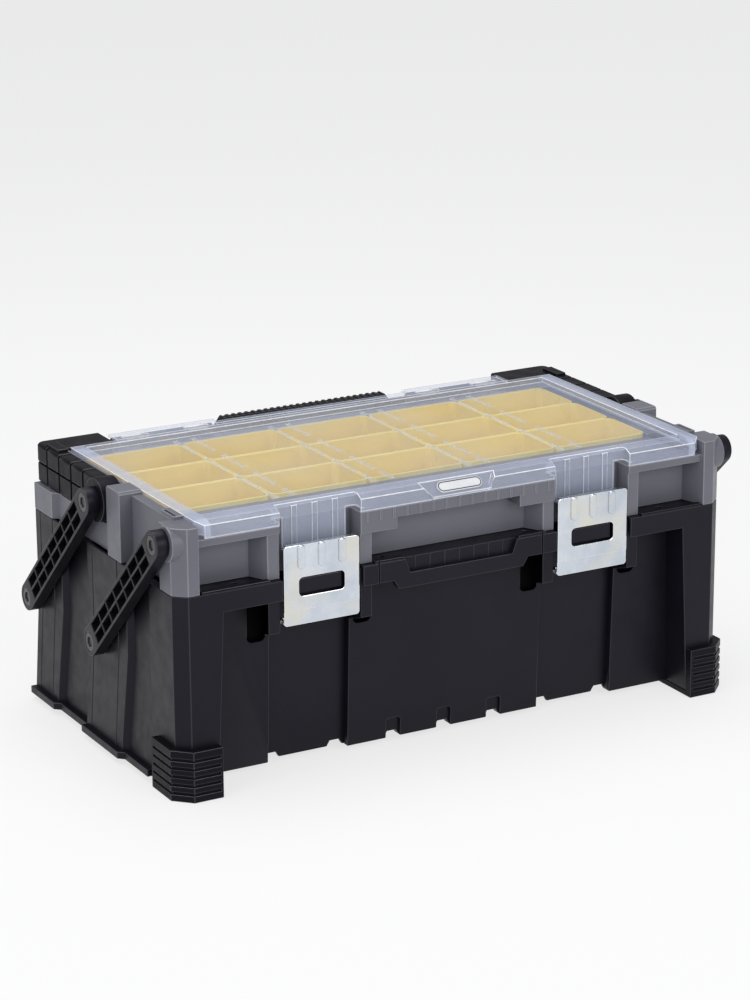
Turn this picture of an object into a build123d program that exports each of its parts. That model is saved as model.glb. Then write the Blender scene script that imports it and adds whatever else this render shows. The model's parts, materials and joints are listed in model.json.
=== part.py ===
from build123d import *
import math
import os

# Folding toolbox: a tub, a swing-up organiser tray on four link arms, a clear lid and a bail handle.
# Millimetres. The front is -Y, +X is to the right, +Z is up and the feet stand on Z = 0.

# Shared clearances
overrun = 1.0
run_clearance = 0.05
seat_clearance = 0.02
body_gap = 0.5
wall = 3.0

# Tub: its sides, front and heights
side_x = 272.0
front_face_y = -147.0
tub_depth = 295.0
base_bottom_z = 5.0
tub_height = 174.0
floor_lift = 6.0
rear_draft = 2.0
recess_depth = 5.0
side_splay = 6.0
panel_top_setback = 25.0
panel_bottom_setback = 32.0
bay_depth = 8.0
pillar_width = 44.0
pillar_draft = 8.5
pillar_length = 54.0
pillar_chamfer_x = 11.0
pillar_chamfer_y = 10.0
rim_height = 18.0
rim_lip = 2.5
rim_lip_depth = 5.5
mid_pilaster_front = 44.5
mid_pilaster_rear = 29.0
rear_pilaster_length = 49.0
side_groove = 1.0
side_groove_depth = 0.6
side_groove_inset = 11.0
flange_reach = 5.0
flange_height = 6.5
rim_groove_x = 81.0
rim_groove = 1.0
rim_groove_depth = 1.5
rim_mark_r = 3.2
rim_mark_depth = 0.8
rim_mark_setback = 15.0
rim_marks_x = (72.0, 212.0)
notch_width = 15.0
notch_top_width = 9.0
notch_height = 5.0
notch_pocket_width = 14.0
notch_pocket_height = 18.0
notch_pocket_depth = 2.5
notch_pocket_r = 3.0
notch_span = 167.0
notch_places_share = (-1.0, -0.63, -0.306, 0.0, 0.306, 0.63, 1.0)
rear_rib_width = 12.0
rear_rib_depth = 3.0
rear_rib_places_share = (-0.75, -0.45, -0.15, 0.15, 0.45, 0.75)

# Pivots and link arms
lower_pivot_drop = 81.0
upper_pivot_rise = 44.0
upper_pivot_setback = 19.0
arm_run = 132.5
rear_pivot_inset = 5.5
pin_r = 4.5
pin_head_r = 8.5
pin_head_depth = 3.0
pin_seat_depth = 8.0
boss_r = 12.0
arm_gap = 2.0
arm_thickness = 11.0
arm_half_width = 12.5
arm_web = 4.0
arm_rib = 2.0
arm_border = 2.6
arm_eye_land = 14.5
arm_pocket_rows = 7

# Latches, and the bays, ears and lugs that take them
latch_x = 135.0
latch_width = 72.0
latch_sheet = 1.2
latch_setback = 3.0
latch_rise = 28.0
latch_hook = 6.0
latch_corner_r = 3.0
latch_curl = 1.6
latch_pin_r = 2.0
latch_pin_setback = 8.5
latch_pin_drop = 39.0
slot_width = 43.5
slot_height = 16.5
slot_drop = 1.0
slot_corner_r = 4.0
slot_clearance = 1.6
lug_setback = 1.5
latch_rib_pitch = 19.5
latch_rib_width = 7.0
latch_rib_length = 21.5
latch_rib_rise = 1.4
latch_rib_round_r = 1.0
latch_crease_rise = 9.0
latch_crease_depth = 0.4
bay_clearance = 2.5
ear_width = 11.0
ear_wall = 4.0
ear_setback = 6.0
ear_foot = 9.0
ear_pocket_width = 10.0
ear_pocket_r = 5.0
ear_pocket_foot = 12.0

# Front grip ledge of the tub
ledge_half_width = 67.0
ledge_bottom_half_width = 62.0
ledge_drop = 8.0
scoop_half_width = 57.0
scoop_bottom_half_width = 51.0
scoop_height = 15.0
scoop_depth = 5.0
scoop_slats = 7
scoop_slat_width = 1.4
scoop_slat_depth = 0.5

# Feet
foot_reach_x = 6.4
foot_reach_y = 8.0
foot_inset = 8.0
foot_short = 10.0
foot_chamfer = 15.0
foot_height = 45.5
foot_frame = 2.5
foot_ribs = 5
foot_band = 8.0
foot_groove = 2.4
foot_groove_depth = 1.6
rear_foot_inset = 6.0
rear_foot_width = 36.0
rear_foot_length = 34.0

# Organiser tray
seam_gap = 0.3
tray_floor = 2.5
shelf_rise = 24.5
ledge_rise = 25.0
deck_rise = 9.5
front_deck_drop = 3.0
tray_rear_inset = 1.5
hinge_band_inset = 10.0
corner_inset = 31.0
tray_hinge_half = 206.0
tray_front_setback = 24.0
tray_upper_inset = 19.3
tray_deck_inset = 12.0
mid_block_length = 27.0
mid_block_gap = 1.5
guard_rise = 4.0
guard_slope = 2.0
rear_block_length = 43.0
tray_pillar_width = 21.5
tray_pillar_draft = 7.0
tray_pillar_back = 8.0
front_boss_r = 15.5
front_boss_lead = 2.0
band_setback = 0.5
band_drop = 6.5
lip_half_width = 61.0
lip_drop = 9.5
lip_end_drop = 19.5
lip_ribs = 15
lip_rib_width = 2.6
lip_rib_rise = 0.8
post_draft = 9.0
catch_width = 9.0
catch_length = 25.0
catch_gap_y = 55.5
catch_rise = 3.0
catch_slot = 2.4
catch_slot_depth = 4.0
catch_slot_inset = 1.6
upstand = 2.2
ledge_width = 10.5
front_deck_depth = 52.0
bin_room_wall = 4.5

# Bins
bin_columns = 5
bin_rows = ("front", "middle", "rear")
bin_gap = 0.6
bin_wall = 1.8
bin_corner_r = 7.0
bin_rise = 1.0

# Lid
lid_setback = 4.0
lid_rear_inset = 2.0
lid_height = 12.5
lid_plate = 2.4
lid_skirt = 2.2
lid_seat_gap = 0.3
lid_corner = 7.0
lid_round_r = 2.0
rim_side = 13.0
rim_front = 20.0
rim_rear = 7.5
window_drop = 3.0
front_bevel_depth = 7.0
front_bevel_drop = 3.5
tongue_setback = 12.0
tongue_half_width = 30.5
tongue_rib_width = 5.5
tongue_rib_rise = 1.4
tongue_catch_rise = 3.0
hook_drop = 2.8
hook_gap = 2.2
hinge_inset = 5.5
hinge_drop = 6.5
hinge_rod_r = 2.2
hinge_barrel_r = 4.4
hinge_ear_r = 3.8
hinge_sweep = 8.8
hinge_ear_inset = 2.0
hinge_ear_gap = 0.6
tab_inner_x = 100.0
tab_gap = 2.0
tab_behind = 3.5
centre_short = 5.0
clip_spans_share = ((0.115, 0.29), (0.69, 0.885))
clip_slot_depth = 3.4
clip_slot_gap = 4.0
divider_rib = 1.2
divider_width = 4.4
divider_rib_half_pitch = 9.0
divider_drop = 1.2
divider_length_share = 0.72
front_divider_length = 21.0
front_divider_gap = 3.0
apron_half_width = 38.0
apron_bottom_half_width = 27.0
apron_reach = 4.5
apron_lip = 2.0
badge_length = 44.0
badge_height = 11.0
badge_thickness = 1.2

# Bail handle
handle_side_gap = 1.8
handle_thickness = 13.5
handle_lift = 1.5
handle_height = 34.5
handle_overhang = 4.5
handle_eye_r = 19.5
handle_end_gap = 1.5
handle_corner_gap = 1.0
handle_shell = 3.0
handle_corner_r = 8.0
handle_edge_r = 3.0
handle_cap_front = 97.0
handle_cap_length = 26.0
handle_cap_width = 10.0
handle_cap_rise = 2.5
bar_depth = 10.5
bar_lift = 1.5
bar_height = 23.5
block_start = 36.5
block_pitch = 26.2
block_count = 4
block_groove = 3.2
block_groove_depth = 2.6
block_top_groove_depth = 4.0
block_line = 2.0
grip_half_length = 90.0
grip_skin = 1.0
grip_crown = 8.0
grip_end_slope = 6.0
grip_ridges = 25
grip_ridge_width = 3.4
grip_ridge_depth = 0.9

# Heights that follow
seam_z = base_bottom_z + tub_height
shelf_z = seam_z + shelf_rise
ledge_z = shelf_z + ledge_rise
deck_z = ledge_z + deck_rise
front_deck_z = ledge_z - front_deck_drop
guard_top_z = deck_z + guard_rise
catch_top_z = deck_z + catch_rise
lower_z = seam_z - lower_pivot_drop
upper_z = seam_z + upper_pivot_rise
latch_top_z = seam_z + latch_rise
latch_pin_z = seam_z - latch_pin_drop
latch_crease_z = latch_pin_z + latch_crease_rise
slot_top_z = seam_z - slot_drop
slot_bottom_z = slot_top_z - slot_height
ear_bottom_z = latch_pin_z - ear_foot
ear_pocket_bottom_z = ear_bottom_z - ear_pocket_foot
bin_top_z = ledge_z + bin_rise
lid_top_z = ledge_z + lid_height
tongue_bottom_z = latch_top_z - latch_sheet - hook_drop - tongue_catch_rise
hinge_z = lid_top_z - hinge_drop
handle_bottom_z = shelf_z + handle_lift
handle_top_z = handle_bottom_z + handle_height
block_line_z = (handle_bottom_z + handle_top_z) / 2
bar_bottom_z = handle_bottom_z + bar_lift
bar_top_z = bar_bottom_z + bar_height
grip_bottom_z = bar_bottom_z - grip_skin
grip_top_z = bar_top_z + grip_crown

# Planes from front to back that follow
base_rear_y = front_face_y + tub_depth
panel_top_y = front_face_y + panel_top_setback
panel_bottom_y = front_face_y + panel_bottom_setback
pillar_rear_y = front_face_y + pillar_length
ear_face_y = front_face_y + ear_setback
latch_face_y = front_face_y + latch_setback
latch_pin_y = front_face_y + latch_pin_setback
foot_face_y = front_face_y - foot_reach_y
foot_rear_y = pillar_rear_y - foot_short
upper_front_y = front_face_y + upper_pivot_setback
lower_front_y = upper_front_y + arm_run
lower_rear_y = base_rear_y - rear_pivot_inset
upper_rear_y = upper_front_y + lower_rear_y - lower_front_y
lower_pivots = (lower_front_y, lower_rear_y)
tray_front_y = front_face_y + tray_front_setback
tray_pillar_rear_y = tray_front_y + tray_pillar_back
tray_rear_y = base_rear_y - tray_rear_inset
tray_upper_rear_y = tray_rear_y - hinge_band_inset
tray_corner_rear_y = tray_rear_y - corner_inset
mid_block_rear_y = upper_rear_y - handle_eye_r - mid_block_gap
mid_block_front_y = mid_block_rear_y - mid_block_length
catch_rear_y = mid_block_front_y - catch_gap_y
catch_front_y = catch_rear_y - catch_length
rear_block_front_y = tray_rear_y - rear_block_length
cavity_rear_y = tray_corner_rear_y - bin_room_wall
cavity_front_y = tray_front_y + front_deck_depth
lid_front_y = front_face_y + lid_setback
lid_rear_y = tray_corner_rear_y - lid_rear_inset
band_face_y = lid_front_y + band_setback
window_front_y = lid_front_y + rim_front
window_rear_y = lid_rear_y - rim_rear
tongue_face_y = lid_front_y + tongue_setback
tongue_catch_y = latch_face_y + latch_hook + hook_gap
hinge_y = tray_upper_rear_y - hinge_inset
tab_rear_y = hinge_y + tab_behind
centre_rear_y = hinge_y - centre_short
clip_slot_front_y = lid_rear_y + clip_slot_gap
handle_rear_y = tray_rear_y + handle_overhang
handle_corner_front_y = tray_corner_rear_y + handle_end_gap
bar_front_y = handle_rear_y - bar_depth

# Planes from the middle outwards that follow
recess_x = side_x - recess_depth
splay_x = side_x + side_splay
pillar_inner_x = side_x - pillar_width
foot_x = side_x + foot_reach_x
foot_inner_x = pillar_inner_x + foot_inset
rear_foot_outer_x = recess_x - wall - rear_foot_inset
arm_inner_x = side_x + arm_gap
arm_face_x = arm_inner_x + arm_thickness
bay_half_width = latch_width / 2 + bay_clearance
tray_upper_x = side_x - tray_upper_inset
tray_deck_x = side_x - tray_deck_inset
tray_pillar_inner_x = side_x - tray_pillar_width
lid_x = tray_upper_x - upstand - body_gap
cavity_x = lid_x - ledge_width
window_x = lid_x - rim_side
tab_outer_x = tray_hinge_half - tab_gap
handle_inner_x = tray_upper_x + handle_side_gap
handle_outer_x = handle_inner_x + handle_thickness
handle_corner_x = tray_hinge_half + handle_corner_gap


def slab(x0, x1, y0, y1, z0, z1):
    """A box between two corners."""
    middle = Pos((x0 + x1) / 2, (y0 + y1) / 2, (z0 + z1) / 2)
    return middle * Box(x1 - x0, y1 - y0, z1 - z0)


def along_x(points, x0, x1):
    """A prism of a Y-Z outline between two X planes."""
    outline = Plane.YZ * Polygon(*points, align=None)
    return Pos(x0, 0, 0) * extrude(outline, amount=x1 - x0, dir=(1, 0, 0))


def along_y(points, y0, y1):
    """A prism of an X-Z outline between two Y planes."""
    outline = Plane.XZ * Polygon(*points, align=None)
    return Pos(0, y0, 0) * extrude(outline, amount=y1 - y0, dir=(0, 1, 0))


def along_z(points, z0, z1):
    """A prism of an X-Y outline between two Z planes."""
    outline = Polygon(*points, align=None)
    return Pos(0, 0, z0) * extrude(outline, amount=z1 - z0, dir=(0, 0, 1))


def rod(y, z, r, x0, x1):
    """A round bar along X."""
    return Pos(x0, y, z) * extrude(Plane.YZ * Circle(r), amount=x1 - x0, dir=(1, 0, 0))


def other_side(shape):
    """The same shape on the left."""
    return mirror(shape, about=Plane.YZ)


def both(shape):
    """A right-hand shape together with its left-hand twin."""
    return shape + other_side(shape)


def save(name, shape):
    export_step(shape, os.path.join("parts", name + ".step"))


def leaning(top, bottom, z):
    """Y of a tub wall at a height, from its Y at the seam and at the bottom edge."""
    return bottom + (top - bottom) * (z - base_bottom_z) / (seam_z - base_bottom_z)


def slanted_front(top_y, bottom_y, rear_top_y, rear_bottom_y, z0, z1):
    """Y-Z outline of a tub with a leaning front and back, cut off between two heights."""
    return (
        (leaning(top_y, bottom_y, z0), z0),
        (leaning(rear_top_y, rear_bottom_y, z0), z0),
        (leaning(rear_top_y, rear_bottom_y, z1), z1),
        (leaning(top_y, bottom_y, z1), z1),
    )


def splayed(face_x, y0, y1):
    """Part of the right-hand wall, upright above the lower pivots and splayed out below them."""
    outline = (
        (recess_x - wall, base_bottom_z),
        (face_x + side_splay, base_bottom_z),
        (face_x, lower_z),
        (face_x, seam_z),
        (recess_x - wall, seam_z),
    )
    return along_y(outline, y0, y1)


def pilaster_plan(front_y, rear_y, reach):
    """X-Y outline of a side pilaster with a slanted front, grown outwards by a reach."""
    root_x = recess_x - wall
    shift = math.sqrt(2) * reach
    return (
        (root_x, front_y - (splay_x - root_x) - shift),
        (splay_x + reach, front_y + reach - shift),
        (splay_x + reach, rear_y),
        (root_x, rear_y),
    )


def tub_room(z0, z1):
    """The room between the tub's inner faces, from one height to another."""
    front_top_y = panel_top_y + bay_depth + wall
    front_bottom_y = panel_bottom_y + bay_depth + wall
    rear_top_y = base_rear_y - wall
    outline = slanted_front(front_top_y, front_bottom_y, rear_top_y, rear_top_y - rear_draft, z0, z1)
    return along_x(outline, wall - recess_x, recess_x - wall)


def base_tub():
    bay_top_y = panel_top_y + bay_depth
    bay_bottom_y = panel_bottom_y + bay_depth
    rear_bottom_y = base_rear_y - rear_draft
    rim_bottom_z = seam_z - rim_height
    bay_inner_x = latch_x - bay_half_width
    bay_outer_x = latch_x + bay_half_width

    # Leaning tub with proud panels between the latch bays
    core_outline = slanted_front(bay_top_y, bay_bottom_y, base_rear_y, rear_bottom_y, base_bottom_z, seam_z)
    panel_outline = slanted_front(panel_top_y, panel_bottom_y, bay_top_y + wall, bay_bottom_y + wall,
                                  base_bottom_z, seam_z)
    tub = along_x(core_outline, -recess_x, recess_x)
    tub += along_x(panel_outline, -bay_inner_x, bay_inner_x)
    tub += both(along_x(panel_outline, bay_outer_x, pillar_inner_x + pillar_draft + wall))

    # Corner pillars, narrower at the bottom
    inner_lean = ((pillar_inner_x, seam_z), (pillar_inner_x + pillar_draft, base_bottom_z),
                  (side_x, base_bottom_z), (side_x, seam_z))
    pillar_side = along_y(inner_lean, front_face_y, pillar_rear_y)
    pillar = (
        (pillar_inner_x, front_face_y),
        (side_x - pillar_chamfer_x, front_face_y),
        (side_x, front_face_y + pillar_chamfer_y),
        (side_x, pillar_rear_y),
        (pillar_inner_x, pillar_rear_y),
    )
    tub += both(along_z(pillar, base_bottom_z, seam_z) & pillar_side)

    # Side wall and its pilasters, with a line near each edge, and the flange that follows them
    pilasters = (
        (lower_front_y - mid_pilaster_front, lower_front_y + mid_pilaster_rear),
        (rear_bottom_y - rear_pilaster_length, rear_bottom_y),
    )
    flange_top_z = base_bottom_z + flange_height
    tub += both(splayed(recess_x, pillar_rear_y, rear_bottom_y))
    tub += both(slab(recess_x - wall, recess_x + side_splay + flange_reach, pillar_rear_y, rear_bottom_y,
                     base_bottom_z, flange_top_z))
    for front_y, rear_y in pilasters:
        upright = along_z(pilaster_plan(front_y, rear_y, 0), base_bottom_z, seam_z)
        tub += both(upright & splayed(side_x, pillar_rear_y, rear_y))
        tub += both(along_z(pilaster_plan(front_y, rear_y, flange_reach), base_bottom_z, flange_top_z))
        for line_y in (front_y + side_groove_inset, rear_y - side_groove_inset):
            skin = splayed(side_x + overrun, line_y, line_y + side_groove)
            skin -= splayed(side_x - side_groove_depth, line_y, line_y + side_groove)
            tub -= both(skin & slab(recess_x, splay_x + overrun, line_y, line_y + side_groove,
                                    flange_top_z, seam_z))

    # Upright ribs on the back
    for share in rear_rib_places_share:
        rib_x = share * recess_x
        tub += slab(rib_x - rear_rib_width / 2, rib_x + rear_rib_width / 2, base_rear_y - wall,
                    base_rear_y + rear_rib_depth, base_bottom_z, rim_bottom_z)

    # Front rim: a skirt and a top plate, open below
    for x0, x1 in ((-bay_inner_x, bay_inner_x), (bay_outer_x, pillar_inner_x + wall),
                   (-pillar_inner_x - wall, -bay_outer_x)):
        tub += slab(x0, x1, front_face_y, front_face_y + wall, rim_bottom_z, seam_z)
        tub += slab(x0, x1, front_face_y, bay_top_y, seam_z - wall, seam_z)
    tub -= both(slab(rim_groove_x, rim_groove_x + rim_groove, front_face_y - overrun,
                     front_face_y + rim_groove_depth, rim_bottom_z - overrun, seam_z + overrun))
    for mark_x in rim_marks_x:
        mark = Pos(mark_x, front_face_y + rim_mark_setback, seam_z - rim_mark_depth) * extrude(
            Circle(rim_mark_r), amount=rim_mark_depth + overrun)
        tub -= both(mark)

    # Grip ledge with a scoop for the fingers
    ledge = (
        (-ledge_half_width, seam_z),
        (-ledge_half_width, rim_bottom_z),
        (-ledge_bottom_half_width, rim_bottom_z - ledge_drop),
        (ledge_bottom_half_width, rim_bottom_z - ledge_drop),
        (ledge_half_width, rim_bottom_z),
        (ledge_half_width, seam_z),
    )
    tub += along_y(ledge, front_face_y, front_face_y + scoop_depth + wall)
    scoop_top_z = seam_z + rim_lip
    scoop_back_y = front_face_y + scoop_depth
    scoop = (
        (-scoop_half_width, scoop_top_z + overrun),
        (-scoop_bottom_half_width, scoop_top_z - scoop_height),
        (scoop_bottom_half_width, scoop_top_z - scoop_height),
        (scoop_half_width, scoop_top_z + overrun),
    )
    tub -= along_y(scoop, front_face_y - overrun, scoop_back_y)
    slat_pitch = 2 * scoop_bottom_half_width / scoop_slats
    for n in range(scoop_slats):
        slat_x = -scoop_bottom_half_width + (n + 1 / 2) * slat_pitch
        tub += slab(slat_x - scoop_slat_width / 2, slat_x + scoop_slat_width / 2,
                    scoop_back_y - scoop_slat_depth, scoop_back_y + scoop_slat_depth,
                    scoop_top_z - scoop_height, seam_z)

    # Ears that hold the latch pins, each with a pocket beside it, and the lug behind each latch slot
    ear_outline = (
        (ear_face_y, seam_z),
        (ear_face_y, ear_bottom_z),
        (bay_bottom_y, ear_bottom_z - ear_width),
        (bay_bottom_y, seam_z),
    )
    pocket_run = ear_width - ear_wall + ear_pocket_width
    pocket_height = rim_bottom_z - ear_pocket_bottom_z
    for inner_x, outward in ((bay_inner_x, -1), (bay_outer_x, 1)):
        ear_x0, ear_x1 = sorted((inner_x, inner_x + outward * ear_width))
        tub += both(along_x(ear_outline, ear_x0, ear_x1))
        pocket = Plane.XZ * Pos(inner_x + outward * (ear_wall + pocket_run / 2),
                                rim_bottom_z - pocket_height / 2 + ear_pocket_r) * RectangleRounded(
            pocket_run, pocket_height + 2 * ear_pocket_r, ear_pocket_r)
        pocket = Pos(0, bay_top_y, 0) * extrude(pocket, amount=bay_top_y - ear_face_y - wall, dir=(0, -1, 0))
        tub -= both(pocket & slab(inner_x - pocket_run - ear_width, inner_x + pocket_run + ear_width,
                                  front_face_y, bay_top_y, ear_pocket_bottom_z - overrun, rim_bottom_z))
    lug_half = slot_width / 2 - slot_clearance
    tub += both(slab(latch_x - lug_half, latch_x + lug_half, latch_face_y + latch_sheet + lug_setback,
                     bay_bottom_y, slot_bottom_z + slot_clearance, slot_top_z - slot_clearance))
    pin_half = bay_half_width + ear_wall
    tub -= both(rod(latch_pin_y, latch_pin_z, latch_pin_r + seat_clearance,
                    latch_x - pin_half - seat_clearance, latch_x + pin_half + seat_clearance))

    # Bosses behind the lower pivots, inside the back
    boss_x = recess_x - 2 * wall
    boss_room = slab(boss_x, side_x, pillar_rear_y, rear_bottom_y, base_bottom_z, seam_z)
    bosses = [rod(pivot_y, lower_z, boss_r, boss_x, side_x) & boss_room for pivot_y in lower_pivots]
    for boss in bosses:
        tub += both(boss)

    # Inside of the tub, the place of its raised floor and the hollow pillars
    floor_z = base_bottom_z + floor_lift
    inside_x = recess_x - wall
    inside = tub_room(floor_z + wall, seam_z)
    under = tub_room(base_bottom_z, floor_z + wall)
    for front_y, rear_y in pilasters:
        inside += both(slab(inside_x - wall, side_x - wall, front_y + wall, rear_y - wall,
                            floor_z + wall, seam_z))
    for boss in bosses:
        inside -= both(boss)
    pillar_inside = (
        (pillar_inner_x + wall, front_face_y + wall),
        (side_x - pillar_chamfer_x - wall / 2, front_face_y + wall),
        (side_x - wall, front_face_y + pillar_chamfer_y + wall / 2),
        (side_x - wall, pillar_rear_y - wall),
        (pillar_inner_x + wall, pillar_rear_y - wall),
    )
    tub -= inside + Pos(0, 0, overrun) * inside
    tub -= both(along_z(pillar_inside, floor_z + wall, seam_z - wall) & Pos(wall, 0, 0) * pillar_side)
    tub -= under + Pos(0, 0, -overrun) * under
    for pivot_y in lower_pivots:
        hole_end = side_x - pin_seat_depth
        tub -= both(rod(pivot_y, lower_z, pin_r + seat_clearance, hole_end, side_x + overrun))

    # Notches along the bottom of the front
    notch = ((-notch_width / 2, base_bottom_z - overrun), (-notch_width / 2, base_bottom_z),
             (-notch_top_width / 2, base_bottom_z + notch_height),
             (notch_top_width / 2, base_bottom_z + notch_height),
             (notch_width / 2, base_bottom_z), (notch_width / 2, base_bottom_z - overrun))
    pocket = Plane.XZ * Pos(0, base_bottom_z) * RectangleRounded(
        notch_pocket_width, 2 * notch_pocket_height, notch_pocket_r)
    pocket = Pos(0, panel_bottom_y + notch_pocket_depth, 0) * extrude(
        pocket, amount=panel_bottom_y + notch_pocket_depth - front_face_y, dir=(0, -1, 0))
    for share in notch_places_share:
        tub -= Pos(share * notch_span, 0, 0) * along_y(notch, panel_top_y, bay_bottom_y + wall + overrun)
        tub -= Pos(share * notch_span, 0, 0) * pocket
    return tub


def tub_floor():
    floor_z = base_bottom_z + floor_lift
    return tub_room(floor_z, floor_z + wall)


def front_rim_lip():
    """Low lip along the front rim, between the tray's posts and beside the scoop."""
    inner_end_x = latch_x - bay_half_width - ear_width - body_gap
    outer_start_x = latch_x + bay_half_width + ear_width + body_gap
    pillar_lean = tray_pillar_draft / (tray_front_y - front_face_y)
    outer_end_x = tray_pillar_inner_x - pillar_lean * rim_lip_depth - body_gap
    lip = Part()
    for x0, x1 in ((scoop_half_width, inner_end_x), (outer_start_x, outer_end_x)):
        lip += both(slab(x0, x1, front_face_y, front_face_y + rim_lip_depth, seam_z, seam_z + rim_lip))
    return lip - both(slab(rim_groove_x, rim_groove_x + rim_groove, front_face_y - overrun,
                           front_face_y + rim_groove_depth, seam_z - overrun, seam_z + rim_lip + overrun))


def foot_outline(inset):
    """X-Y outline of a front corner foot, drawn in by the depth of a groove."""
    return (
        (foot_inner_x, foot_face_y + inset),
        (foot_x - foot_chamfer - inset / 2, foot_face_y + inset),
        (foot_x - inset, foot_face_y + foot_chamfer + inset / 2),
        (foot_x - inset, foot_rear_y),
        (foot_inner_x, foot_rear_y),
    )


def corner_foot():
    foot = along_z(foot_outline(0), 0, foot_height)
    # Grooves between the ribs, under the top band
    rib_pitch = (foot_height - foot_band) / foot_ribs
    for n in range(foot_ribs):
        groove_z = (n + 1) * rib_pitch
        ring = along_z(foot_outline(-overrun), groove_z - foot_groove / 2, groove_z + foot_groove / 2)
        core = along_z(foot_outline(foot_groove_depth), groove_z - foot_groove, groove_z + foot_groove)
        foot -= (ring - core) & slab(foot_inner_x + foot_frame, foot_x + overrun, foot_face_y - overrun,
                                     foot_rear_y - foot_frame, 0, foot_height)
    # The pillar stands in it
    pillar = (
        (foot_inner_x - overrun, front_face_y),
        (side_x - pillar_chamfer_x, front_face_y),
        (side_x, front_face_y + pillar_chamfer_y),
        (side_x, foot_rear_y + overrun),
        (foot_inner_x - overrun, foot_rear_y + overrun),
    )
    return foot - along_z(pillar, base_bottom_z, foot_height + overrun)


def rear_foot():
    rear_y = base_rear_y - rear_draft - wall - rear_foot_inset
    return slab(rear_foot_outer_x - rear_foot_width, rear_foot_outer_x, rear_y - rear_foot_length, rear_y,
                0, base_bottom_z + floor_lift)


def link_arm(lower_y):
    """One arm on the right, from its lower pivot to its upper one."""
    run_y = upper_front_y - lower_front_y
    rise = upper_z - lower_z
    length = math.hypot(run_y, rise)
    lean = math.degrees(math.atan2(-run_y, rise))

    # Drawn upright on its lower pivot, then leant forward
    arm = slab(arm_inner_x, arm_face_x, -arm_half_width, arm_half_width, 0, length)
    for z in (0, length):
        arm += rod(0, z, arm_half_width, arm_inner_x, arm_face_x)
    pocket_half = arm_half_width - arm_border
    pocket_run = length - 2 * arm_eye_land
    pitch = pocket_run / arm_pocket_rows
    for n in range(arm_pocket_rows):
        z0 = arm_eye_land + n * pitch + arm_rib / 2
        z1 = arm_eye_land + (n + 1) * pitch - arm_rib / 2
        for side in (-1, 1):
            y0, y1 = sorted((side * arm_rib / 2, side * pocket_half))
            arm -= slab(arm_inner_x + arm_web, arm_face_x + overrun, y0, y1, z0, z1)
    for z in (0, length):
        arm -= rod(0, z, pin_r + run_clearance, arm_inner_x - overrun, arm_face_x + overrun)
        head_clearance = pin_head_r + 2 * run_clearance
        arm -= rod(0, z, head_clearance, arm_face_x - pin_head_depth - run_clearance, arm_face_x + overrun)
    return Pos(0, lower_y, lower_z) * Rot(lean, 0, 0) * arm


def pivot_pin(y, z, inner_x):
    """A headed pin on the right, flush with the arm's outer face."""
    pin = rod(y, z, pin_r, inner_x, arm_face_x)
    head = rod(y, z, pin_head_r, arm_face_x - pin_head_depth, arm_face_x)
    dimple = rod(y, z, pin_r, arm_face_x - pin_head_depth / 2, arm_face_x + overrun)
    return pin + head - dimple


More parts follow.
